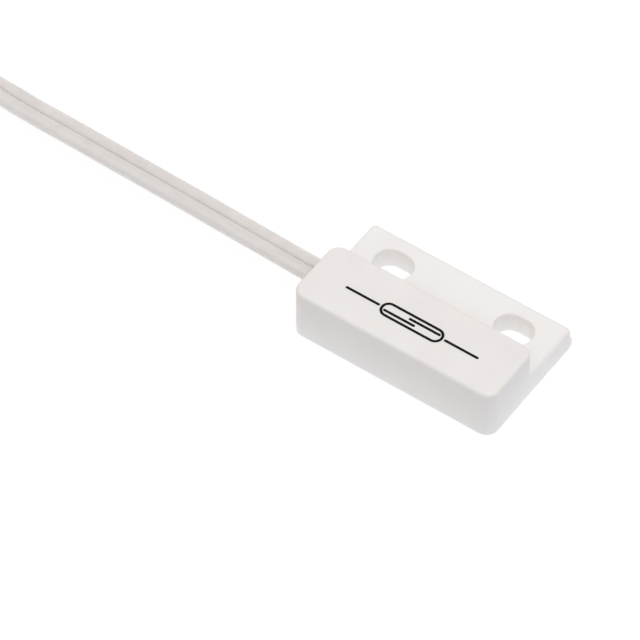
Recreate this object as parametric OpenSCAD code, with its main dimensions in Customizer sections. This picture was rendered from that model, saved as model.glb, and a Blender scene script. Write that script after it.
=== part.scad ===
// Screw-mount reed sensor: a moulded block with a slotted flange, potted from below,
// with a flat twin lead. Millimetres; origin at the centre of the moulding's underside,
// +X along the moulding away from the lead, +Y towards the flange, +Z up.

/* [Moulding] */
// Length of the moulding
body_l = 23; // [21:0.5:40]
// Width over the block and the flange
body_w = 13.9; // [13:0.1:24]
// Width of the raised block that holds the reed capsule
block_w = 7.4; // [6.8:0.1:8.2]
// Height of the raised block
block_h = 5.9; // [4.4:0.1:12]
// Thickness of the flange
flange_t = 2.5; // [1.5:0.1:4]
// Radius of the block's upright corners
corner_r = 1.3; // [0.5:0.1:1.8]
// Rounding along the block's top edges
block_edge_r = 0.35; // [0.1:0.05:0.45]
// Radius of the flange's upright corners
flange_corner_r = 0.6; // [0.6:0.1:2]
// Rounding along the flange's top edges
flange_edge_r = 0.5; // [0.1:0.05:0.55]
// Height of the squarer foot that the mould's lower half forms
foot_h = 1.1; // [0.3:0.1:1.4]
// Radius of the foot's upright corners
foot_corner_r = 0.1; // [0.05:0.05:0.6]
// Rounding along the flange's lower back edge
foot_edge_r = 0.6; // [0.1:0.05:0.9]

/* [Mounting slots] */
// Width of a slot, clear for an M3 screw
slot_w = 3.2; // [2.2:0.1:4]
// How far a screw can slide along its slot
slot_travel = 0.9; // [0.2:0.1:2.5]
// From the end of the moulding to a slot's centre
slot_inset = 4.55; // [3.4:0.05:6]
// From the block's wall to a slot's centre
slot_setback = 3.25; // [2.4:0.05:3.6]
// Rounding of a slot's upper rim
slot_rim_r = 0.2; // [0.1:0.05:0.3]

/* [Potting pocket] */
// Wall round the pocket
wall = 0.75; // [0.5:0.05:0.9]
// Roof over the pocket
roof = 0.9; // [0.5:0.05:1.2]
// Radius of the pocket's upright corners
pocket_corner_r = 0.5; // [0.2:0.05:0.8]
// How far the potting stops short of the underside
pot_recess = 0.15; // [0.05:0.05:0.4]

/* [Reed capsule] */
// Outside diameter of the glass
glass_d = 2.2; // [1.8:0.05:2.5]
// Length of the glass
glass_l = 14; // [10:0.5:15]
// Wall of the glass
glass_wall = 0.3; // [0.2:0.05:0.4]
// Length of glass that is fused round each reed
seal_l = 1.8; // [1:0.1:2.5]
// Gap between the glass and the pocket's front wall
glass_gap = 0.3; // [0.1:0.05:0.4]
// Diameter of a reed's round shank
shank_d = 0.5; // [0.4:0.05:0.6]
// Width of a reed's flattened blade
blade_w = 1; // [0.7:0.05:1.1]
// Thickness of a reed's flattened blade
blade_t = 0.2; // [0.1:0.02:0.26]
// Length over which a shank is pressed down to its blade
press_l = 0.8; // [0.4:0.1:1.2]
// Length over which the two blades lie above each other
contact_overlap = 1.2; // [0.6:0.1:2]
// Open contact gap between the blades
contact_gap = 0.06; // [0.04:0.01:0.12]

/* [Twin lead] */
// Diameter of each insulated core
core_d = 1.35; // [1.2:0.05:1.5]
// Distance between the two cores' centres
core_pitch = 1.3; // [1.2:0.05:1.4]
// Thickness of the web between the cores
web_t = 0.6; // [0.5:0.05:1]
// Diameter of a core's copper strands
conductor_d = 0.5; // [0.4:0.05:0.6]
// Clearance round the lead in the pocket and its notch
lead_gap = 0.05; // [0.03:0.01:0.1]
// How far the two cores stay joined inside the pocket
joined_l = 0.5; // [0.2:0.05:0.6]
// Bare strands between the long core and its bend
bare_l = 0.8; // [0.3:0.1:2]

/* [Splices] */
// From the pocket's end walls to the splices' axes
splice_inset = 2; // [1.7:0.05:2.3]
// Wall of a splice sleeve
splice_wall = 0.3; // [0.15:0.05:0.4]
// Depth of the crimp round a sleeve's middle
crimp_depth = 0.12; // [0.04:0.02:0.14]
// Bend radius of the reeds' shanks and the bare strands
bend_r = 0.5; // [0.35:0.05:0.6]
// Gap between the two wires that meet in a sleeve
butt_gap = 0.1; // [0.04:0.02:0.2]

/* [Hank of the lead] */
// Radius of the hank's folds at mid-turn
fold_r = 9.3; // [8.5:0.1:12]
// Length of the hank's straight runs
run_l = 26; // [20:0.5:32]
// Turns in each of the hank's two layers
layer_turns = 1.87; // [1.5:0.01:2.5]
// Play between neighbouring turns
turn_gap = 0.03; // [0.01:0.01:0.1]
// Rounding of the hank's edges
hank_edge_r = 0.5; // [0.2:0.1:0.8]
// Thickness of the tie round one side of the hank
tie_t = 0.3; // [0.2:0.05:0.6]
// Width of the tie
tie_w = 2.5; // [2:0.1:5]
// Length of the tie's twisted ends
tie_tail_l = 6; // [4:0.5:7]
// Diameter of the tie's twisted ends
tie_tail_d = 1.8; // [1.2:0.1:2]
// Length of a tinned tip at the lead's far end
tip_l = 5; // [3:0.5:5.5]

/* [Hidden] */
$fn = 48;
cut = 0.5;

// Block and flange, across the moulding
front_y = -body_w / 2;
flange_y = body_w / 2;
block_y = front_y + block_w / 2;
block_back_y = front_y + block_w;

// Slots
slot_x = body_l / 2 - slot_inset;
slot_y = block_back_y + slot_setback;

// Pocket
pocket_l = body_l - 2 * wall;
pocket_w = block_w - 2 * wall;
pocket_h = block_h - roof;
pocket_front_y = front_y + wall;
pocket_back_y = block_back_y - wall;

// Lead, in the plane of the capsule's axis
axis_z = block_h / 2;
lead_w = core_pitch + core_d;
lead_y = pocket_back_y - lead_gap - lead_w / 2;
core_near_y = lead_y - core_pitch / 2;
core_far_y = lead_y + core_pitch / 2;
exit_x = -body_l / 2;
split_x = -pocket_l / 2 + joined_l;

// Capsule: how round its ends and its hollow's ends are, as a share of their diameters,
// and the length of round shank that shows past each seal
glass_end_share = 0.35;
hollow_end_share = 0.4;
shank_show_l = 0.3;
hollow_d = glass_d - 2 * glass_wall;
reed_y = pocket_front_y + glass_gap + glass_d / 2;
blade_root_x = glass_l / 2 - seal_l - shank_show_l;
blade_tip_r = blade_w / 4;

// Splices, and the share of the straight run between the bends that a sleeve fills
near_x = -pocket_l / 2 + splice_inset;
far_x = pocket_l / 2 - splice_inset;
core_far_end_x = far_x - bend_r - bare_l;
splice_d = max(shank_d, conductor_d) + 2 * splice_wall;
splice_share = 0.9;
splice_l = (core_near_y - reed_y - 2 * bend_r) * splice_share;
near_meet_y = (reed_y + core_near_y) / 2;
far_meet_y = (reed_y + core_far_y) / 2;

// Hank, on edge in two layers, how high the lead lies on the floor, and how far short of
// the hank's straight run the lead's tube ends
turn_t = core_d + turn_gap;
hank_build = (layer_turns + 1) * turn_t;
hank_h = 2 * lead_w + turn_gap;
hank_low_z = tie_t + lead_w / 2;
hank_high_z = tie_t + hank_h - lead_w / 2;
outer_lane_r = fold_r + layer_turns * turn_t / 2;
floor_z = core_d / 2 + 0.01;
hank_reach = 5.5;
tie_slope = asin((tie_t + (hank_h - tie_tail_d) / 2) / tie_tail_l);
tie_root = tie_tail_d / 2 * sin(tie_slope) + 0.02;

// Routes: x, y, how far the lead has sunk, and how far it has turned on edge in degrees.
// The first is counted from the point where the lead leaves the moulding, and sinks from
// there to the hank's lower layer. The tail is counted from the hank's right end, on the
// outer lane, and sinks from the upper layer to the floor. The cores start at its end.
lead_route = [
    [0, 0, 0, 0],
    [-1, 0, 0, 0],
    [-5, 0.1, 0, 0],
    [-10, 0.3, 0.08, 0],
    [-15, 0.5, 0.15, 0],
    [-20, 0.7, 0.26, 0],
    [-25, 0.9, 0.38, 0],
    [-30, 1.1, 0.49, 0],
    [-35, 1.3, 0.64, 0],
    [-38, 1.5, 0.72, 0],
    [-41, 1.8, 0.79, 15],
    [-44, 2.5, 0.87, 45],
    [-47, 3.3, 0.94, 75],
    [-49.5, 3.8, 0.98, 87],
    [-51.5, 3.9, 1, 90]
];
tail_route = [
    [hank_reach, 0, 0.04, 86],
    [7.3, 0.1, 0.14, 68],
    [9.1, 0.3, 0.35, 45],
    [10.9, 0.5, 0.61, 22],
    [12.7, 0.7, 0.84, 6],
    [14.4, 0.8, 0.96, 0],
    [16, 0.9, 1, 0]
];
core_a_route = [
    [0.05, 0.7, 1, 0],
    [1.8, 0.9, 1, 0],
    [3.6, 1.1, 1, 0],
    [5.4, 1.4, 1, 0],
    [7.2, 1.8, 1, 0]
];
core_b_route = [
    [0.12, -0.7, 1, 0],
    [1.8, -0.8, 1, 0],
    [3.6, -0.9, 1, 0],
    [5.4, -0.9, 1, 0],
    [7.2, -0.8, 1, 0]
];
lead_end = lead_route[len(lead_route) - 1];
tail_end = tail_route[len(tail_route) - 1];
fold_x = exit_x + lead_end[0] - hank_reach;
hank_x = fold_x - run_l / 2;
hank_y = lead_y + lead_end[1] - outer_lane_r;
tail_y = hank_y - outer_lane_r;
lead_path = laid(lead_route, exit_x, lead_y, axis_z, hank_low_z);
tail_path = laid(tail_route, fold_x, tail_y, hank_high_z, floor_z);
core_a_path = laid(core_a_route, fold_x + tail_end[0], tail_y + tail_end[1], floor_z, floor_z);
core_b_path = laid(core_b_route, fold_x + tail_end[0], tail_y + tail_end[1], floor_z, floor_z);

// Sections of the lead and of one core, eight points each
lead_section = [
    [lead_w / 2, 0],
    [core_pitch / 2, core_d / 2],
    [0, web_t / 2],
    [-core_pitch / 2, core_d / 2],
    [-lead_w / 2, 0],
    [-core_pitch / 2, -core_d / 2],
    [0, -web_t / 2],
    [core_pitch / 2, -core_d / 2]
];
core_section = [for (i = [0:7]) core_d / 2 * [cos(i * 45), sin(i * 45)]];

// A route's points set down from x and y, between a height at its start and one at its end
function laid(route, x, y, high, low) =
    [for (p = route) [x + p[0], y + p[1], high + p[2] * (low - high), p[3]]];
function unit(v) = v / norm(v);
function place(p) = [p[0], p[1], p[2]];
function heading(route, i) =
    unit(place(route[min(i + 1, len(route) - 1)]) - place(route[max(i - 1, 0)]));
function ring(route, section, i) =
    let (
        along = heading(route, i),
        side = unit([-along[1], along[0], 0]),
        up = cross(along, side),
        roll = route[i][3]
    )
    [for (q = section)
        place(route[i])
        + (q[0] * cos(roll) - q[1] * sin(roll)) * side
        + (q[0] * sin(roll) + q[1] * cos(roll)) * up];

// A tube with the given section along a route
module sweep(route, section) {
    n = len(section);
    last = len(route) - 1;
    polyhedron(
        points = [for (i = [0:last]) each ring(route, section, i)],
        faces = concat(
            [[for (k = [0:n - 1]) k]],
            [[for (k = [n - 1:-1:0]) last * n + k]],
            [for (i = [0:last - 1], k = [0:n - 1])
                [i * n + k, (i + 1) * n + k, i * n + (k + 1) % n]],
            [for (i = [0:last - 1], k = [0:n - 1])
                [(i + 1) * n + k, (i + 1) * n + (k + 1) % n, i * n + (k + 1) % n]]
        )
    );
}

// A rectangle with four round corners, centred
module round_rect(l, w, r) {
    square([l - 2 * r, w], center = true);
    square([l, w - 2 * r], center = true);
    for (x = [-1, 1], y = [-1, 1])
        translate([x * (l / 2 - r), y * (w / 2 - r)])
            circle(r);
}

// What rounding takes away from a square corner that points to +X and +Y at the origin
module corner_waste(r) {
    translate([-r, -r])
        difference() {
            square(r + cut);
            circle(r);
        }
}

// Upright half of a wall's section, from its middle out, with its top edge rounded
module shoulder(half, h, r) {
    difference() {
        square([half, h]);
        translate([half, h])
            corner_waste(r);
    }
}

// A block with round upright corners and a rounded top edge
module soft_block(l, w, h, corner, edge) {
    for (x = [-1, 1], y = [-1, 1])
        translate([x * (l / 2 - corner), y * (w / 2 - corner), 0])
            rotate_extrude()
                shoulder(corner, h, edge);
    for (side = [0, 1])
        mirror([0, side, 0])
            rotate([90, 0, 90])
                linear_extrude(l - 2 * corner, center = true)
                    shoulder(w / 2, h, edge);
    for (side = [0, 1])
        mirror([side, 0, 0])
            rotate([90, 0, 0])
                linear_extrude(w - 2 * corner, center = true)
                    shoulder(l / 2, h, edge);
}

// A slot through the flange, with round ends and a rounded upper rim
module slot_cut() {
    translate([0, 0, -cut])
        linear_extrude(flange_t + 2 * cut) {
            square([slot_travel, slot_w], center = true);
            for (x = [-1, 1])
                translate([x * slot_travel / 2, 0])
                    circle(d = slot_w);
        }
    for (side = [0, 1])
        mirror([side, 0, 0])
            translate([slot_travel / 2, 0, 0])
                rotate([0, 0, -90])
                    rotate_extrude(angle = 180)
                        rim_section();
    for (side = [0, 1])
        mirror([0, side, 0])
            rotate([90, 0, 90])
                linear_extrude(slot_travel, center = true)
                    rim_section();
}

// What is cut away beside a slot's wall to round its rim
module rim_section() {
    translate([slot_w / 2, flange_t])
        mirror([1, 0])
            corner_waste(slot_rim_r);
}

// The flange, solid: soft above, with a squarer foot, and rounded along its lower back edge
module flange_form() {
    flange_w = flange_y - block_y;
    difference() {
        translate([0, block_y + flange_w / 2, 0]) {
            soft_block(body_l, flange_w, flange_t, flange_corner_r, flange_edge_r);
            linear_extrude(foot_h)
                round_rect(body_l, flange_w, foot_corner_r);
        }
        rotate([90, 0, 90])
            linear_extrude(body_l + 2 * cut, center = true)
                translate([flange_y, 0])
                    mirror([0, 1])
                        corner_waste(foot_edge_r);
    }
}

// The raised block, solid
module block_form() {
    translate([0, block_y, 0])
        soft_block(body_l, block_w, block_h, corner_r, block_edge_r);
}

// The pocket under the block and the notch that the lead passes
module pocket_form() {
    translate([0, block_y, -cut])
        linear_extrude(pocket_h + cut)
            round_rect(pocket_l, pocket_w, pocket_corner_r);
    notch_w = lead_w + 2 * lead_gap;
    translate([exit_x - cut, lead_y, 0])
        rotate([90, 0, 90])
            linear_extrude(wall + 2 * cut) {
                translate([-notch_w / 2, -cut])
                    square([notch_w, axis_z + cut]);
                translate([0, axis_z])
                    offset_twin(lead_gap);
            }
}

// Section of the twin lead, grown all round by a clearance
module offset_twin(gap) {
    for (y = [-1, 1])
        translate([y * core_pitch / 2, 0])
            circle(core_d / 2 + gap);
    square([core_pitch, web_t + 2 * gap], center = true);
}

// A wire that comes along X at x0, bends by a quarter circle onto the line x = x1,
// and ends at y1. It lies at y0 before the bend.
module bent_wire(d, x0, y0, x1, y1) {
    toward_x = x1 > x0 ? 1 : -1;
    toward_y = y1 > y0 ? 1 : -1;
    straight = abs(x1 - x0) - bend_r;
    translate([x0, y0, axis_z])
        rotate([0, toward_x * 90, 0])
            cylinder(h = straight, d = d);
    translate([x1 - toward_x * bend_r, y0 + toward_y * bend_r, axis_z])
        scale([toward_x, -toward_y, 1])
            rotate_extrude(angle = 90)
                translate([bend_r, 0])
                    circle(d = d);
    translate([x1, y0 + toward_y * bend_r, axis_z])
        rotate([-toward_y * 90, 0, 0])
            cylinder(h = abs(y1 - y0) - bend_r, d = d);
}

// One reed's blade: its side view, pressed flat, met with its plan
module blade(side_up) {
    root_x = -blade_root_x;
    flat_x = root_x + press_l;
    tip_x = contact_overlap / 2;
    low = contact_gap / 2;
    high = low + blade_t;
    intersection() {
        translate([0, blade_w, 0])
            rotate([90, 0, 0])
                linear_extrude(2 * blade_w)
                    scale([1, side_up])
                        polygon([
                            [root_x, -shank_d / 2],
                            [root_x, shank_d / 2],
                            [flat_x, high],
                            [tip_x, high],
                            [tip_x, low],
                            [flat_x, low]
                        ]);
        translate([0, 0, -shank_d])
            linear_extrude(2 * shank_d) {
                polygon([
                    [root_x, -shank_d / 2],
                    [flat_x, -blade_w / 2],
                    [tip_x - blade_tip_r, -blade_w / 2],
                    [tip_x - blade_tip_r, blade_w / 2],
                    [flat_x, blade_w / 2],
                    [root_x, shank_d / 2]
                ]);
                translate([tip_x - 2 * blade_tip_r, -blade_w / 2 + blade_tip_r])
                    square([2 * blade_tip_r, blade_w - 2 * blade_tip_r]);
                for (y = [-1, 1])
                    translate([tip_x - blade_tip_r, y * (blade_w / 2 - blade_tip_r)])
                        circle(blade_tip_r);
            }
    }
}

// A reed: its blade, its round shank through the seal, and the bend to its splice
module reed(x1, meet_y, side_up) {
    side_x = x1 > 0 ? 1 : -1;
    color("silver") {
        translate([0, reed_y, axis_z])
            scale([-side_x, 1, 1])
                blade(side_up);
        bent_wire(shank_d, side_x * blade_root_x, reed_y, x1, meet_y - butt_gap / 2);
    }
}

// The glass tube's outline, and its bore for the reeds' shanks
module glass_form(with_hollow) {
    translate([0, reed_y, axis_z])
        rotate([0, 90, 0])
            rotate_extrude()
                intersection() {
                    difference() {
                        round_rect(glass_d, glass_l, glass_d * glass_end_share);
                        if (with_hollow)
                            round_rect(
                                hollow_d, glass_l - 2 * seal_l, hollow_d * hollow_end_share
                            );
                    }
                    translate([with_hollow ? shank_d / 2 : 0, -glass_l])
                        square([glass_d, 2 * glass_l]);
                }
}

// A crimped sleeve along Y round the ends of two wires, or its outline without bores
module splice_form(x, y, with_bores) {
    translate([x, y, axis_z])
        rotate([-90, 0, 0])
            difference() {
                rotate_extrude()
                    difference() {
                        translate([0, -splice_l / 2])
                            square([splice_d / 2, splice_l]);
                        translate([splice_d / 2 + splice_l / 4 - crimp_depth, 0])
                            circle(splice_l / 4);
                    }
                if (with_bores) {
                    translate([0, 0, -splice_l / 2 - cut])
                        cylinder(h = splice_l / 2 + cut, d = shank_d);
                    cylinder(h = splice_l / 2 + cut, d = conductor_d);
                }
            }
}

// Everything that the potting flows round, without hollows
module potted_pieces() {
    glass_form(false);
    splice_form(near_x, near_meet_y, false);
    splice_form(far_x, far_meet_y, false);
    reed(near_x, near_meet_y, 1);
    reed(far_x, far_meet_y, -1);
    strands(near_x, core_near_y, near_meet_y);
    strands(far_x, core_far_y, far_meet_y);
    cores_form();
}

// The lead's joined end and the long core, solid
module cores_form() {
    joined = split_x - exit_x;
    translate([exit_x, core_near_y, axis_z])
        rotate([0, 90, 0])
            cylinder(h = joined, d = core_d);
    translate([exit_x, core_far_y, axis_z])
        rotate([0, 90, 0])
            cylinder(h = core_far_end_x - exit_x, d = core_d);
    translate([exit_x, core_near_y, axis_z - web_t / 2])
        cube([joined, core_pitch, web_t]);
}

// A core's strands, from the end of the moulding to the splice
module strands(x1, y0, meet_y) {
    color("peru")
        bent_wire(conductor_d, exit_x, y0, x1, meet_y + butt_gap / 2);
}

module housing() {
    color([0.95, 0.94, 0.92])
        difference() {
            union() {
                block_form();
                flange_form();
            }
            pocket_form();
            for (x = [-slot_x, slot_x])
                translate([x, slot_y, 0])
                    slot_cut();
        }
}

module potting() {
    color([0.86, 0.85, 0.82])
        difference() {
            intersection() {
                block_form();
                pocket_form();
                translate([-body_l, -body_w, pot_recess])
                    cube([2 * body_l, 2 * body_w, block_h]);
            }
            potted_pieces();
        }
}

module reed_glass() {
    color([0.7, 0.85, 0.75, 0.5])
        glass_form(true);
}

module reed_near() {
    reed(near_x, near_meet_y, 1);
}

module reed_far() {
    reed(far_x, far_meet_y, -1);
}

module splice_near() {
    color("darkgray")
        splice_form(near_x, near_meet_y, true);
}

module splice_far() {
    color("darkgray")
        splice_form(far_x, far_meet_y, true);
}

module lead_inner_end() {
    color([0.86, 0.85, 0.83])
        difference() {
            cores_form();
            for (y = [core_near_y, core_far_y])
                translate([exit_x - cut, y, axis_z])
                    rotate([0, 90, 0])
                        cylinder(h = body_l, d = conductor_d);
        }
}

module strands_near() {
    strands(near_x, core_near_y, near_meet_y);
}

module strands_far() {
    strands(far_x, core_far_y, far_meet_y);
}

module lead() {
    color([0.86, 0.85, 0.83])
        sweep(lead_path, lead_section);
}

// Sections of the hank and of its tie, beside the lane that they stand on
module hank_section(grow) {
    translate([0, tie_t + hank_h / 2])
        round_rect(hank_build + 2 * grow, hank_h + 2 * grow, hank_edge_r + grow);
}

module lead_hank() {
    color([0.82, 0.81, 0.79])
        translate([hank_x, hank_y, 0])
            for (side = [0, 1]) {
                mirror([side, 0, 0])
                    translate([run_l / 2, 0, 0])
                        rotate([0, 0, -90])
                            rotate_extrude(angle = 180, $fn = 96)
                                translate([fold_r, 0])
                                    hank_section(0);
                mirror([0, side, 0])
                    translate([0, fold_r, 0])
                        rotate([90, 0, 90])
                            linear_extrude(run_l, center = true)
                                hank_section(0);
            }
}

module lead_tail() {
    color([0.86, 0.85, 0.83])
        sweep(tail_path, lead_section);
}

module core_tail_a() {
    color([0.86, 0.85, 0.83])
        sweep(core_a_path, core_section);
}

module core_tail_b() {
    color([0.86, 0.85, 0.83])
        sweep(core_b_path, core_section);
}

// A tinned tip that carries on from the last point of a core's route
module tinned_tip(route) {
    last = len(route) - 1;
    along = heading(route, last);
    color("silver")
        translate(place(route[last]))
            rotate([0, 90, atan2(along[1], along[0])])
                cylinder(h = tip_l, d = conductor_d);
}

module tinned_tip_a() {
    tinned_tip(core_a_path);
}

module tinned_tip_b() {
    tinned_tip(core_b_path);
}

// A flat band round one side of the hank, with its twisted ends bent down inside the hank
module hank_tie() {
    color("whitesmoke")
        translate([hank_x, hank_y + fold_r, 0]) {
            rotate([90, 0, 90])
                linear_extrude(tie_w, center = true)
                    difference() {
                        hank_section(tie_t);
                        hank_section(0);
                    }
            translate([0, -hank_build / 2 - tie_root, tie_t + hank_h / 2])
                rotate([90 + tie_slope, 0, 0])
                    cylinder(h = tie_tail_l, d = tie_tail_d);
        }
}

housing();
potting();
reed_glass();
reed_near();
reed_far();
splice_near();
splice_far();
lead_inner_end();
strands_near();
strands_far();
lead();
lead_hank();
lead_tail();
core_tail_a();
core_tail_b();
tinned_tip_a();
tinned_tip_b();
hank_tie();
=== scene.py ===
import math

import bmesh
import bpy
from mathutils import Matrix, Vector


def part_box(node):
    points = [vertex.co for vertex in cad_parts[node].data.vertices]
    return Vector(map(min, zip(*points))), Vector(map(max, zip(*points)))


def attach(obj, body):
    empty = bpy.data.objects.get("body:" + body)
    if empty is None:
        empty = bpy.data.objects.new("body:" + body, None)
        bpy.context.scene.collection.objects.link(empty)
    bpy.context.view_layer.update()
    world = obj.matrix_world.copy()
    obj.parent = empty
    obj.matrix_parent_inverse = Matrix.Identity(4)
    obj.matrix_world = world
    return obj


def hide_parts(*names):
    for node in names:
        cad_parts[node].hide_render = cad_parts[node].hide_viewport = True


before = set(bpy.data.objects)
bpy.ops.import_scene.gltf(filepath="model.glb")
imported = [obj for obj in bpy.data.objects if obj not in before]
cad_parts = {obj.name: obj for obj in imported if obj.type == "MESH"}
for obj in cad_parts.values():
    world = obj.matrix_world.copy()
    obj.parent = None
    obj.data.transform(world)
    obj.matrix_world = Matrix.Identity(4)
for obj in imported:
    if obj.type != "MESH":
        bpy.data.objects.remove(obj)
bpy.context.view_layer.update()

# Camera
# The photograph looks down on the sensor from in front and to the right, through a long lens.
# The sensor lies to the right of the picture's middle, and its lead runs out at the left edge.
view_azimuth = math.radians(35.09)
view_elevation = math.radians(51.13)
view_distance = 0.6
view_width = 0.06083
aim_height = 0.003
aim_left = 0.010607
aim_down = 0.000219
sensor_width = 36
toward_camera = Vector((
    math.sin(view_azimuth) * math.cos(view_elevation),
    -math.cos(view_azimuth) * math.cos(view_elevation),
    math.sin(view_elevation),
))
screen_right = Vector((math.cos(view_azimuth), math.sin(view_azimuth), 0))
screen_up = toward_camera.cross(screen_right)
aim = Vector((0, 0, aim_height)) - aim_left * screen_right - aim_down * screen_up

camera = bpy.data.objects.new("camera", bpy.data.cameras.new("camera"))
camera.data.sensor_width = sensor_width
camera.data.lens = sensor_width * view_distance / view_width
camera.data.clip_start = 0.01
camera.data.clip_end = 10
camera.location = aim + view_distance * toward_camera
camera.rotation_euler = (-toward_camera).to_track_quat("-Z", "Y").to_euler()
bpy.context.collection.objects.link(camera)
bpy.context.scene.camera = camera

# Lead
# The flat twin lead: one soft PVC extrusion over two cores, with a narrow groove between them.
# It leaves the moulding's end, turns on edge into a two-layer hank past the photograph's left
# edge, and leaves the hank again to lie flat where its cores are split apart.
core_r = 0.000675
core_offset = 0.00065
core_half_t = 0.00063
core_squareness = 3.4
core_steps = 14
web_half = 0.0003
groove_half = 0.00004
groove_foot = (0.55, 0.25)

# Stops along the lead: x and y, how far it has sunk towards its next height, and its turn on
# edge in degrees. The first run starts at the exit, and the tail at the hank's right end.
lead_exit = Vector((-0.0115, -0.001675, 0.00295))
lead_run = [
    (0, 0, 0, 0), (-0.001, 0, 0, 0), (-0.005, 0.0001, 0, 0), (-0.01, 0.0003, 0.08, 0),
    (-0.015, 0.0005, 0.15, 0), (-0.02, 0.0007, 0.26, 0), (-0.025, 0.0009, 0.38, 0),
    (-0.03, 0.0011, 0.49, 0), (-0.035, 0.0013, 0.64, 0), (-0.038, 0.0015, 0.72, 0),
    (-0.041, 0.0018, 0.79, 15), (-0.044, 0.0025, 0.87, 45), (-0.047, 0.0033, 0.94, 75),
    (-0.0495, 0.0038, 0.98, 87), (-0.0515, 0.0039, 1, 90),
]
tail_run = [
    (0.0055, 0, 0.04, 86), (0.0073, 0.0001, 0.14, 68), (0.0091, 0.0003, 0.35, 45),
    (0.0109, 0.0005, 0.61, 22), (0.0127, 0.0007, 0.84, 6), (0.0144, 0.0008, 0.96, 0),
    (0.016, 0.0009, 1, 0),
]
ring_gap = 0.0007

# Height of the lead's middle where it lies flat on the table
floor_z = 0.000685

# The hank: its lanes lie a lead's thickness apart and its two layers a lead's width apart, with
# room for the tie below. It makes three full turns, then a run, a fold and a run more, so that
# the lead comes in at the right end of the back run and leaves at that of the front one. The
# climb to the upper layer takes a small part of a turn.
fold_r = 0.0093
straight_run = 0.026
full_turns = 3
layer_turns = 1.87
climb_turns = 0.16
lane_step = 0.00138
layer_step = 0.00268
stops_a_turn = 44
tie_play = 0.0003
hank_low_z = tie_play + core_offset + core_r
hank_high_z = hank_low_z + layer_step
fold_length = math.pi * fold_r
turn_length = 2 * straight_run + 2 * fold_length
hank_turns = full_turns + (2 * straight_run + fold_length) / turn_length
outer_lane_r = fold_r + layer_turns * lane_step / 2
fold_x = -0.0685
hank_x = fold_x - straight_run / 2
hank_y = lead_exit.y + lead_run[-1][1] - outer_lane_r


def hank_point(turns):
    """A place on the hank after so many turns: inwards in the lower layer, out in the upper."""
    past_middle = turns - hank_turns / 2
    lane_r = outer_lane_r - lane_step * (hank_turns / 2 - abs(past_middle))
    way = turns % 1 * turn_length
    side = 1
    if way >= straight_run + fold_length:
        way -= straight_run + fold_length
        side = -1
    if way < straight_run:
        x = straight_run / 2 - way
        y = lane_r
    else:
        turned = (way - straight_run) / fold_r
        x = -straight_run / 2 - lane_r * math.sin(turned)
        y = lane_r * math.cos(turned)
    climb = min(max(0.5 + past_middle / climb_turns, 0), 1)
    z = hank_low_z + layer_step * climb * climb * (3 - 2 * climb)
    return Vector((hank_x + side * x, hank_y + side * y, z))


# Each stop is a point and the lead's turn on edge there
lead_stops = []
for x, y, sunk, roll in lead_run:
    z = lead_exit.z + sunk * (hank_low_z - lead_exit.z)
    lead_stops.append((Vector((lead_exit.x + x, lead_exit.y + y, z)), roll))
hank_stops = round(hank_turns * stops_a_turn)
for k in range(hank_stops + 1):
    lead_stops.append((hank_point(hank_turns * k / hank_stops), 90))
for x, y, sunk, roll in tail_run:
    z = hank_high_z + sunk * (floor_z - hank_high_z)
    lead_stops.append((Vector((fold_x + x, hank_y - outer_lane_r + y, z)), roll))


def smooth_route(stops, spacing):
    """Points and rolls about a spacing apart, on a smooth curve through the stops."""
    route = []
    last = len(stops) - 1
    for i in range(last):
        before, start, end, after = (stops[min(max(j, 0), last)][0] for j in range(i - 1, i + 3))
        steps = max(1, round((end - start).length / spacing))
        for k in range(steps):
            t = k / steps
            bend_1 = end - before
            bend_2 = 2 * before - 5 * start + 4 * end - after
            bend_3 = 3 * start - before - 3 * end + after
            point = start + 0.5 * (t * bend_1 + t ** 2 * bend_2 + t ** 3 * bend_3)
            point.z = max(point.z, floor_z)
            roll = stops[i][1] + (stops[i + 1][1] - stops[i][1]) * t
            route.append((point, roll))
    route.append(stops[-1])
    return route


def lead_outline():
    """The lead's section, counterclockwise: two squarish cores and a groove in each flat side."""
    quarter = []
    meet = math.acos(((core_offset - groove_half) / core_r) ** (core_squareness / 2))
    for k in range(core_steps + 1):
        a = (math.pi - meet) * k / core_steps
        x = math.copysign(abs(math.cos(a)) ** (2 / core_squareness), math.cos(a))
        z = math.sin(a) ** (2 / core_squareness)
        quarter.append((core_offset + core_r * x, core_half_t * z))
    depth = quarter[-1][1] - web_half
    quarter.append((groove_half * groove_foot[0], web_half + depth * groove_foot[1]))
    half = quarter + [(0, web_half)] + [(-x, z) for x, z in reversed(quarter)]
    return half + [(x, -z) for x, z in reversed(half[1:-1])]


def join_rings(mesh, rings):
    """Smooth walls from each ring of points to the next, and a flat face at either end."""
    for ring, after in zip(rings, rings[1:]):
        for k in range(len(ring)):
            wall = mesh.faces.new((ring[k - 1], ring[k], after[k], after[k - 1]))
            wall.smooth = True
    mesh.faces.new(rings[0][::-1])
    mesh.faces.new(rings[-1])


def add_tube(mesh, route, section_at):
    """A tube in the mesh whose ring at each point of the route is section_at(share of the way)."""
    rings = []
    travelled = 0
    total = sum((after[0] - point[0]).length for point, after in zip(route, route[1:]))
    for i, (point, roll) in enumerate(route):
        along = (route[min(i + 1, len(route) - 1)][0] - route[max(i - 1, 0)][0]).normalized()
        side = Vector((-along.y, along.x, 0)).normalized()
        up = along.cross(side)
        c = math.cos(math.radians(roll))
        s = math.sin(math.radians(roll))
        if i:
            travelled += (point - route[i - 1][0]).length
        rings.append([
            mesh.verts.new(point + (x * c - z * s) * side + (x * s + z * c) * up)
            for x, z in section_at(travelled / total)
        ])
    join_rings(mesh, rings)
    for ring in (rings[0], rings[-1]):
        for k in range(len(ring)):
            mesh.edges.get((ring[k - 1], ring[k])).smooth = False


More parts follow.
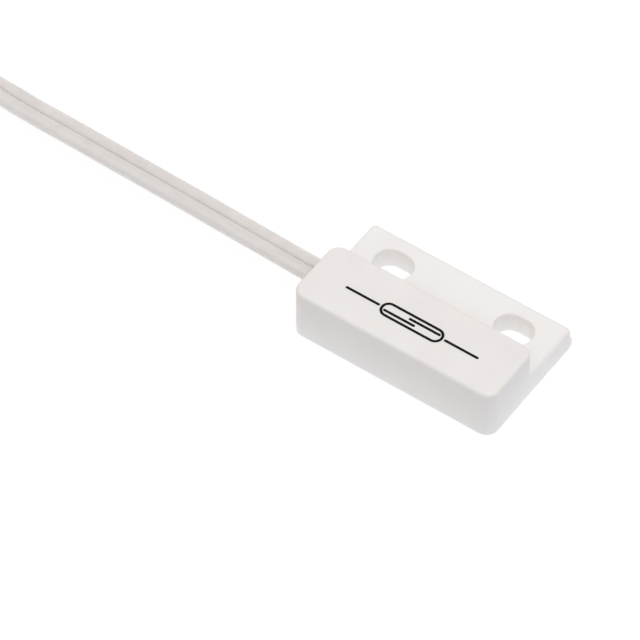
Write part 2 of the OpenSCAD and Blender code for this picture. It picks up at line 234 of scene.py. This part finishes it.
def finished(name, mesh):
    """A piece in the scene, made of the mesh."""
    data = bpy.data.meshes.new(name)
    mesh.to_mesh(data)
    mesh.free()
    piece = bpy.data.objects.new(name, data)
    bpy.context.collection.objects.link(piece)
    return piece


def drawn_tube(name, route, section_at):
    """A piece that is one tube along the route, with a sharp edge round either end."""
    mesh = bmesh.new()
    add_tube(mesh, route, section_at)
    return finished(name, mesh)


def toned_material(name, dark, light, patch, grain, relief, gloss):
    """A material that drifts between two tones in soft patches, over a fine raised grain.

    patch, grain and relief are sizes in metres. gloss is the lowest and the highest roughness.
    """
    noise_low = 0.3
    noise_high = 0.7
    material = bpy.data.materials.new(name)
    material.use_nodes = True
    nodes = material.node_tree.nodes
    links = material.node_tree.links
    skin = nodes["Principled BSDF"]
    where = nodes.new("ShaderNodeTexCoord")
    patches = nodes.new("ShaderNodeTexNoise")
    patches.inputs["Scale"].default_value = 1 / patch
    patches.inputs["Detail"].default_value = 4
    tone = nodes.new("ShaderNodeValToRGB")
    tone.name = "tone"
    tone.color_ramp.elements[0].position = noise_low
    tone.color_ramp.elements[0].color = (*dark, 1)
    tone.color_ramp.elements[1].position = noise_high
    tone.color_ramp.elements[1].color = (*light, 1)
    grains = nodes.new("ShaderNodeTexNoise")
    grains.inputs["Scale"].default_value = 1 / grain
    grains.inputs["Detail"].default_value = 3
    raised = nodes.new("ShaderNodeBump")
    raised.inputs["Strength"].default_value = 0.5
    raised.inputs["Distance"].default_value = relief
    sheen = nodes.new("ShaderNodeMapRange")
    sheen.inputs["From Min"].default_value = noise_low
    sheen.inputs["From Max"].default_value = noise_high
    sheen.inputs["To Min"].default_value = gloss[0]
    sheen.inputs["To Max"].default_value = gloss[1]
    links.new(where.outputs["Object"], patches.inputs["Vector"])
    links.new(where.outputs["Object"], grains.inputs["Vector"])
    links.new(patches.outputs["Fac"], tone.inputs["Fac"])
    links.new(tone.outputs["Color"], skin.inputs["Base Color"])
    links.new(patches.outputs["Fac"], sheen.inputs["Value"])
    links.new(sheen.outputs["Result"], skin.inputs["Roughness"])
    links.new(grains.outputs["Fac"], raised.inputs["Height"])
    links.new(raised.outputs["Normal"], skin.inputs["Normal"])
    return material


lead_route = smooth_route(lead_stops, ring_gap)
lead_section = lead_outline()
lead = drawn_tube("twin_lead", lead_route, lambda share: lead_section)

# Soft grey-white PVC with a low sheen. It lets light in, and its tone is slightly uneven.
pvc = toned_material(
    "lead_pvc", dark=(0.655, 0.622, 0.602), light=(0.695, 0.662, 0.642),
    patch=0.0012, grain=0.00014, relief=0.000003, gloss=(0.45, 0.55),
)
skin = pvc.node_tree.nodes["Principled BSDF"]
skin.inputs["Subsurface Weight"].default_value = 0.9
skin.inputs["Subsurface Radius"].default_value = (1, 0.95, 0.9)
skin.inputs["Subsurface Scale"].default_value = 0.0021
lead.data.materials.append(pvc)
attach(lead, "root")
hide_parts("lead", "lead_hank", "lead_tail")

# Split cores
# The lead's two cores, torn apart along the web for a few millimetres. Each is a round wire in
# its own soft PVC, which is cut square where the bare strands stick out.
tail_end = lead_route[-1][0]
tail_heading = (tail_end - lead_route[-2][0]).normalized()
tail_side = Vector((-tail_heading.y, tail_heading.x, 0)).normalized()
core_runs = {
    "core_tail_a": (1, [(0.0018, 0.0009), (0.0036, 0.0011), (0.0054, 0.0014), (0.0072, 0.0018)]),
    "core_tail_b": (-1, [(0.0018, -0.0008), (0.0036, -0.0009), (0.0054, -0.0009), (0.0072, -0.0008)]),
}
core_ring_gap = 0.0004
core_sunk = 0.0003
core_sides = 32
round_from = 0.3
root_share = 0.06
cut_share = 0.985
end_shrink = 0.98


def core_section(share):
    """The lead's half section at the root, then round, and drawn in a little at both ends."""
    rounded = min(share / round_from, 1)
    squareness = core_squareness + (2 - core_squareness) * rounded
    half_t = core_half_t + (core_r - core_half_t) * rounded
    drawn_in = end_shrink if share < root_share or share > cut_share else 1
    ring = []
    for k in range(core_sides):
        c = math.cos(2 * math.pi * k / core_sides)
        s = math.sin(2 * math.pi * k / core_sides)
        x = core_r * math.copysign(abs(c) ** (2 / squareness), c)
        z = half_t * math.copysign(abs(s) ** (2 / squareness), s)
        ring.append((drawn_in * x, drawn_in * z))
    return ring


core_ends = {}
for node, (hand, run) in core_runs.items():
    start = tail_end + hand * core_offset * tail_side
    stops = [(start - core_sunk * tail_heading, 0), (start + core_sunk * tail_heading, 0)]
    stops += [(Vector((tail_end.x + x, tail_end.y + y, floor_z)), 0) for x, y in run]
    route = smooth_route(stops, core_ring_gap)
    core = drawn_tube("split_" + node, route, core_section)
    core.data.materials.append(pvc)
    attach(core, "root")
    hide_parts(node)
    letter = node[-1]
    core_ends[letter] = (route[-1][0], (route[-1][0] - route[-2][0]).normalized())

# Tinned tips
# Each core's fine copper strands, stripped bare for soldering. They are twisted together and
# dipped in solder, which rounds off the very end.
bundle_r = 0.00025
bundle_sides = 48
strand_count = 8
strand_relief = 0.07
tip_length = 0.005
tip_sunk = 0.0002
tip_rings = 60
twist_a_ring = 12
blunt_share = 0.06
blunt_end = 0.02


def twisted_section(share):
    """Strands side by side round the bundle, which the solder rounds off at its very end."""
    into_end = max((share - 1 + blunt_share) / blunt_share, 0)
    taper = math.sqrt(max(1 - into_end ** 2, blunt_end))
    ring = []
    for k in range(bundle_sides):
        a = 2 * math.pi * k / bundle_sides
        r = taper * bundle_r * (1 - strand_relief + strand_relief * math.cos(strand_count * a))
        ring.append((r * math.cos(a), r * math.sin(a)))
    return ring


# Solder: bright grey metal, a little uneven in tone and gloss
tin = toned_material(
    "tinned_strands", dark=(0.55, 0.55, 0.54), light=(0.78, 0.78, 0.77),
    patch=0.00025, grain=0.00006, relief=0.000002, gloss=(0.22, 0.4),
)
tin.node_tree.nodes["Principled BSDF"].inputs["Metallic"].default_value = 1
for letter, (end, heading) in core_ends.items():
    route = [
        (end + (tip_length * k / tip_rings - tip_sunk) * heading, twist_a_ring * k)
        for k in range(tip_rings + 1)
    ]
    tip = drawn_tube("tinned_strands_" + letter, route, twisted_section)
    tip.data.materials.append(tin)
    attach(tip, "root")
    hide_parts("tinned_tip_" + letter)

# Twist tie
# A strip of white plastic drawn over a thin wire. It goes once round the hank's back run, and
# its two ends are twisted together inside the hank and bent down.
strip_half = 0.00125
strip_t = 0.00011
strip_steps = 20
wire_half = 0.00032
wire_rise = 0.00016
strip_clear = 0.00001
bend_r = 0.0005
bend_steps = 6
twist_length = 0.006
twist_drop = 0.0013
twist_turns = 1.5
twist_steps = 48
twist_splay = 0.0004
splay_from = 0.8
tie_half_y = (layer_turns * lane_step + 2 * core_r) / 2 + strip_clear
tie_half_z = (layer_step + 2 * (core_offset + core_r)) / 2 + strip_clear
tie_centre = Vector((hank_x, hank_y + fold_r, (hank_low_z + hank_high_z) / 2))
across = Vector((1, 0, 0))


def strip_profile():
    """Across the strip and out from the hank: a flat strip with the wire's ridge along its middle."""
    face = []
    for k in range(strip_steps + 1):
        w = strip_half * (2 * k / strip_steps - 1)
        ridge = max(0, 1 - (w / wire_half) ** 2)
        face.append((w, strip_t + wire_rise * ridge))
    return [(-strip_half, 0), (strip_half, 0)] + face[::-1]


def bend(y, z, start, end):
    """Points round a bend at y and z from the tie's centre, each with the ray that it lies on."""
    stations = []
    for k in range(bend_steps + 1):
        a = math.radians(start + (end - start) * k / bend_steps)
        ray = Vector((0, math.cos(a), math.sin(a)))
        stations.append((tie_centre + Vector((0, y, z)) + bend_r * ray, ray))
    return stations


def twisted_end(hand):
    """Points along one of the two twisted ends, from its root out; hand 1 is the upper one.

    Each point comes with the strip's direction across and the one out from its inner side.
    """
    stations = []
    for k in range(1, twist_steps + 1):
        way = k / twist_steps
        reach = tie_half_y + bend_r + twist_length * way
        centre = tie_centre + Vector((0, -reach, -twist_drop * way ** 2))
        along = Vector((0, -twist_length, -2 * twist_drop * way)).normalized()
        upright = along.cross(across)
        turn = 2 * math.pi * twist_turns * way
        outward = hand * (math.cos(turn) * upright - math.sin(turn) * across)
        splay = twist_splay * max(0, (way - splay_from) / (1 - splay_from)) ** 2
        width = math.cos(turn) * across + math.sin(turn) * upright
        stations.append((centre + (strip_clear + splay) * outward, width, outward))
    return stations


corner_y = tie_half_y - bend_r
corner_z = tie_half_z - bend_r
tie_stations = twisted_end(1)[::-1]
tie_stations += [(p, across, -ray) for p, ray in bend(-tie_half_y - bend_r, bend_r, -90, 0)]
for y, z, start in (
    (-corner_y, corner_z, 180),
    (corner_y, corner_z, 90),
    (corner_y, -corner_z, 0),
    (-corner_y, -corner_z, -90),
):
    tie_stations += [(p, across, ray) for p, ray in bend(y, z, start, start - 90)]
tie_stations += [(p, across, -ray) for p, ray in bend(-tie_half_y - bend_r, -bend_r, 0, 90)]
tie_stations += twisted_end(-1)

strip = bmesh.new()
join_rings(strip, [
    [strip.verts.new(point + w * width + t * outward) for w, t in strip_profile()]
    for point, width, outward in tie_stations
])
bmesh.ops.recalc_face_normals(strip, faces=strip.faces)
twist_tie = finished("twist_tie", strip)
tie_plastic = toned_material(
    "tie_plastic", dark=(0.79, 0.79, 0.77), light=(0.84, 0.84, 0.82),
    patch=0.0015, grain=0.0002, relief=0.000004, gloss=(0.28, 0.4),
)
twist_tie.data.materials.append(tie_plastic)
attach(twist_tie, "root")
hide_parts("hank_tie")

# Housing
# One moulding in white glass-filled polyester: block, flange, slots and pocket. The CAD form
# stays. Its finish is a fine spark-eroded grain, and the plastic lets a little light into it.
block_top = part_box("housing")[1].z
# How far the painted bounce light pales the colour at the underside, and the white it pales towards
painted_bounce_amount = 0.4
painted_bounce_white = (1, 0.99, 0.98, 1)
moulded = toned_material(
    "housing_plastic", dark=(0.83, 0.79, 0.765), light=(0.86, 0.825, 0.8),
    patch=0.004, grain=0.00011, relief=0.000003, gloss=(0.42, 0.5),
)
nodes = moulded.node_tree.nodes
links = moulded.node_tree.links
skin = nodes["Principled BSDF"]

# Painted bounce light: the colour turns paler the lower down the moulding is, standing in for light
# from the table below, so its tone goes by height
where = nodes.new("ShaderNodeTexCoord")
height = nodes.new("ShaderNodeSeparateXYZ")
painted_bounce_fade = nodes.new("ShaderNodeMapRange")
painted_bounce_fade.inputs["From Max"].default_value = block_top
painted_bounce_fade.inputs["To Min"].default_value = painted_bounce_amount
painted_bounce_fade.inputs["To Max"].default_value = 0
painted_bounce_mix = nodes.new("ShaderNodeMix")
painted_bounce_mix.data_type = "RGBA"
painted_bounce_mix.inputs["B"].default_value = painted_bounce_white
links.new(where.outputs["Object"], height.inputs["Vector"])
links.new(height.outputs["Z"], painted_bounce_fade.inputs["Value"])
links.new(painted_bounce_fade.outputs["Result"], painted_bounce_mix.inputs["Factor"])
links.new(nodes["tone"].outputs["Color"], painted_bounce_mix.inputs["A"])
links.new(painted_bounce_mix.outputs["Result"], skin.inputs["Base Color"])
skin.inputs["Subsurface Weight"].default_value = 0.2
skin.inputs["Subsurface Radius"].default_value = (1, 0.9, 0.8)
skin.inputs["Subsurface Scale"].default_value = 0.0005
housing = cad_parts["housing"]
housing.data.materials.clear()
housing.data.materials.append(moulded)

# Printed symbol
# The plain circuit symbol of an open reed contact, pad-printed in black on the block's top: a
# capsule's outline, two blades that pass each other, and a lead to either side.
ink_half = 0.00014
ink_t = 0.000012
ink_sunk = 0.000004
symbol_centre = Vector((0.0001, -0.0035, block_top))
symbol_half_l = 0.0076
capsule_half_l = 0.0034
capsule_r = 0.00075
blade_overlap = 0.0005
blade_half_gap = 0.00024
end_steps = 16
symbol = bmesh.new()


def stadium(half_l, radius, centre):
    """Points round a rounded bar that lies along X, counterclockwise."""
    points = []
    for side in (1, -1):
        for k in range(end_steps + 1):
            a = math.pi * (k / end_steps - 0.5)
            points.append((
                centre[0] + side * (half_l - radius + radius * math.cos(a)),
                centre[1] + side * radius * math.sin(a),
            ))
    return points


def add_ink(outer, inner=None):
    """A film of ink inside one outline, or between two outlines of the same number of points."""
    top = symbol_centre.z + ink_t
    bottom = symbol_centre.z - ink_sunk
    walls = []
    for outline in (outer, inner):
        if outline:
            walls.append([
                [symbol.verts.new((symbol_centre.x + x, symbol_centre.y + y, z)) for x, y in outline]
                for z in (bottom, top)
            ])
    count = len(outer)
    for k in range(count):
        low, high = walls[0]
        symbol.faces.new((low[k - 1], low[k], high[k], high[k - 1]))
        if inner:
            inner_low, inner_high = walls[1]
            symbol.faces.new((inner_low[k], inner_low[k - 1], inner_high[k - 1], inner_high[k]))
            symbol.faces.new((high[k - 1], high[k], inner_high[k], inner_high[k - 1]))
            symbol.faces.new((low[k], low[k - 1], inner_low[k - 1], inner_low[k]))
    if not inner:
        symbol.faces.new(walls[0][1])
        symbol.faces.new(walls[0][0][::-1])


add_ink(
    stadium(capsule_half_l + ink_half, capsule_r + ink_half, (0, 0)),
    stadium(capsule_half_l - ink_half, capsule_r - ink_half, (0, 0)),
)
blade_half_l = (capsule_half_l - ink_half * 2 + blade_overlap) / 2
lead_half_l = (symbol_half_l - capsule_half_l - ink_half * 2) / 2
for side in (1, -1):
    blade_x = side * (blade_half_l - blade_overlap)
    add_ink(stadium(blade_half_l, ink_half, (blade_x, side * blade_half_gap)))
    add_ink(stadium(lead_half_l, ink_half, (side * (symbol_half_l - lead_half_l), 0)))
printed_symbol = finished("printed_symbol", symbol)
ink = toned_material(
    "black_ink", dark=(0.002, 0.002, 0.002), light=(0.007, 0.007, 0.007),
    patch=0.0003, grain=0.00005, relief=0.000001, gloss=(0.6, 0.75),
)
ink.node_tree.nodes["Principled BSDF"].inputs["Specular IOR Level"].default_value = 0.1
printed_symbol.data.materials.append(ink)
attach(printed_symbol, "root")

# Potting
# Resin cast into the pocket from below, with the capsule in it. It closes the notch round the
# lead, and its glossy underside stops a little short of the housing's.
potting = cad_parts["potting"]
potting.data.materials.clear()
potting.data.materials.append(toned_material(
    "potting_resin", dark=(0.7, 0.67, 0.6), light=(0.77, 0.74, 0.67),
    patch=0.003, grain=0.0009, relief=0.00002, gloss=(0.18, 0.3),
))

# Reed capsule
# A tube of pale green glass, fused at its ends round two nickel-iron reeds. The blades pass
# each other inside with an open contact gap. The resin holds the capsule and hides it.
glass = toned_material(
    "capsule_glass", dark=(0.7, 0.85, 0.76), light=(0.76, 0.9, 0.82),
    patch=0.002, grain=0.001, relief=0.000002, gloss=(0.02, 0.06),
)
skin = glass.node_tree.nodes["Principled BSDF"]
skin.inputs["Transmission Weight"].default_value = 1
skin.inputs["IOR"].default_value = 1.5
reed_alloy = toned_material(
    "reed_alloy", dark=(0.56, 0.55, 0.52), light=(0.66, 0.65, 0.62),
    patch=0.0005, grain=0.00008, relief=0.000002, gloss=(0.25, 0.38),
)
reed_alloy.node_tree.nodes["Principled BSDF"].inputs["Metallic"].default_value = 1

# Splices and strands
# The lead's bare copper strands, bent to the reeds' ends and held to them by crimped sleeves
# of tinned copper. They lie in the resin beside the capsule, with the lead's inner end.
splice_metal = toned_material(
    "splice_metal", dark=(0.62, 0.61, 0.59), light=(0.74, 0.73, 0.7),
    patch=0.0006, grain=0.0001, relief=0.000002, gloss=(0.28, 0.42),
)
splice_metal.node_tree.nodes["Principled BSDF"].inputs["Metallic"].default_value = 1
copper = toned_material(
    "copper_strands", dark=(0.7, 0.36, 0.22), light=(0.82, 0.5, 0.34),
    patch=0.0004, grain=0.00006, relief=0.000004, gloss=(0.25, 0.4),
)
copper.node_tree.nodes["Principled BSDF"].inputs["Metallic"].default_value = 1
for node, material in (
    ("reed_glass", glass), ("reed_near", reed_alloy), ("reed_far", reed_alloy),
    ("splice_near", splice_metal), ("splice_far", splice_metal),
    ("strands_near", copper), ("strands_far", copper), ("lead_inner_end", pvc),
):
    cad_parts[node].data.materials.clear()
    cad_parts[node].data.materials.append(material)

# Floor and light
# A pale table, lit from below round the sensor, under a white tent. The floor and the tent look
# white to the camera and in reflections, and the floor keeps a faint shadow.
floor_half = 2
table_tone = (0.76, 0.76, 0.76, 1)
glow_tone = (0.9, 0.95, 1, 1)
glow_full = 0.45
glow_faint = 0.05
glow_end_x = 0.005
glow_full_reach = 0.005
glow_faint_reach = 0.013
shadow_tone = (0.12, 0.12, 0.12, 1)
seen_strength = 0.91
horizon_strength = 0.08
high_strength = 1.03
high_from = 0.7
floor_data = bpy.data.meshes.new("floor")
floor_data.from_pydata(
    [
        (-floor_half, -floor_half, 0),
        (floor_half, -floor_half, 0),
        (floor_half, floor_half, 0),
        (-floor_half, floor_half, 0),
    ],
    [],
    [(0, 1, 2, 3)],
)
floor = bpy.data.objects.new("floor", floor_data)
bpy.context.collection.objects.link(floor)


def white_when_seen(tree):
    """Link a factor that is 1 for the camera, for reflections and for what glass lets through."""
    rays = tree.nodes.new("ShaderNodeLightPath")
    seen = rays.outputs["Is Camera Ray"]
    for kind in ("Is Glossy Ray", "Is Transmission Ray"):
        either = tree.nodes.new("ShaderNodeMath")
        either.operation = "MAXIMUM"
        tree.links.new(seen, either.inputs[0])
        tree.links.new(rays.outputs[kind], either.inputs[1])
        seen = either.outputs[0]
    pick = tree.nodes.new("ShaderNodeMixShader")
    tree.links.new(seen, pick.inputs["Fac"])
    return pick


table = bpy.data.materials.new("white_table")
table.use_nodes = True
nodes = table.node_tree.nodes
links = table.node_tree.links
nodes.remove(nodes["Principled BSDF"])
bounce = nodes.new("ShaderNodeBsdfDiffuse")
bounce.inputs["Color"].default_value = table_tone

# The glow fades with the distance from a line that runs under the lead and the sensor to
# glow_end_x: left of that point, only the distance to either side counts.
where = nodes.new("ShaderNodeNewGeometry")
past_end = nodes.new("ShaderNodeVectorMath")
past_end.operation = "SUBTRACT"
past_end.inputs[1].default_value = (glow_end_x, 0, 0)
from_line = nodes.new("ShaderNodeVectorMath")
from_line.operation = "MAXIMUM"
from_line.inputs[1].default_value = (0, -floor_half, 0)
distance = nodes.new("ShaderNodeVectorMath")
distance.operation = "LENGTH"
fading = nodes.new("ShaderNodeMapRange")
fading.inputs["From Min"].default_value = glow_full_reach
fading.inputs["From Max"].default_value = glow_faint_reach
fading.inputs["To Min"].default_value = glow_full
fading.inputs["To Max"].default_value = glow_faint
glow = nodes.new("ShaderNodeEmission")
glow.inputs["Color"].default_value = glow_tone
lit = nodes.new("ShaderNodeAddShader")
shadowed = nodes.new("ShaderNodeBsdfDiffuse")
shadowed.inputs["Color"].default_value = shadow_tone
white = nodes.new("ShaderNodeEmission")
white.inputs["Strength"].default_value = seen_strength
shown = nodes.new("ShaderNodeAddShader")
pick = white_when_seen(table.node_tree)
links.new(where.outputs["Position"], past_end.inputs[0])
links.new(past_end.outputs["Vector"], from_line.inputs[0])
links.new(from_line.outputs["Vector"], distance.inputs[0])
links.new(distance.outputs["Value"], fading.inputs["Value"])
links.new(fading.outputs["Result"], glow.inputs["Strength"])
links.new(bounce.outputs[0], lit.inputs[0])
links.new(glow.outputs[0], lit.inputs[1])
links.new(shadowed.outputs[0], shown.inputs[0])
links.new(white.outputs[0], shown.inputs[1])
links.new(lit.outputs[0], pick.inputs[1])
links.new(shown.outputs[0], pick.inputs[2])
links.new(pick.outputs[0], nodes["Material Output"].inputs["Surface"])
floor.data.materials.append(table)

# The tent lights the sensor mostly from above, and hardly from near the horizon
tent = bpy.data.worlds.new("tent")
bpy.context.scene.world = tent
tent.use_nodes = True
nodes = tent.node_tree.nodes
links = tent.node_tree.links
sky = nodes["Background"]
sky.inputs["Color"].default_value = (1, 1, 1, 1)
toward = nodes.new("ShaderNodeTexCoord")
height = nodes.new("ShaderNodeSeparateXYZ")
rise = nodes.new("ShaderNodeMapRange")
rise.inputs["From Max"].default_value = high_from
rise.inputs["To Min"].default_value = horizon_strength
rise.inputs["To Max"].default_value = high_strength
links.new(toward.outputs["Generated"], height.inputs["Vector"])
links.new(height.outputs["Z"], rise.inputs["Value"])
links.new(rise.outputs["Result"], sky.inputs["Strength"])
backdrop = nodes.new("ShaderNodeBackground")
backdrop.inputs["Color"].default_value = (1, 1, 1, 1)
backdrop.inputs["Strength"].default_value = 1
pick = white_when_seen(tent.node_tree)
links.new(sky.outputs[0], pick.inputs[1])
links.new(backdrop.outputs[0], pick.inputs[2])
links.new(pick.outputs[0], nodes["World Output"].inputs["Surface"])


def add_softbox(name, size, energy, tone, place):
    """A round soft lamp that faces the sensor."""
    softbox = bpy.data.objects.new(name, bpy.data.lights.new(name, "AREA"))
    softbox.data.shape = "DISK"
    softbox.data.size = size
    softbox.data.energy = energy
    softbox.data.color = tone
    softbox.location = place
    softbox.rotation_euler = softbox.location.to_track_quat("Z", "Y").to_euler()
    bpy.context.collection.objects.link(softbox)


# One hangs over the sensor, and a cool one stands past its right end
add_softbox("overhead_softbox", size=0.5, energy=0.3, tone=(1, 1, 1), place=(0.05, 0.12, 0.5))
add_softbox("side_softbox", size=0.3, energy=0.17, tone=(0.4, 0.6, 1), place=(0.5, -0.12, 0.12))

bpy.context.scene.view_settings.view_transform = "Standard"
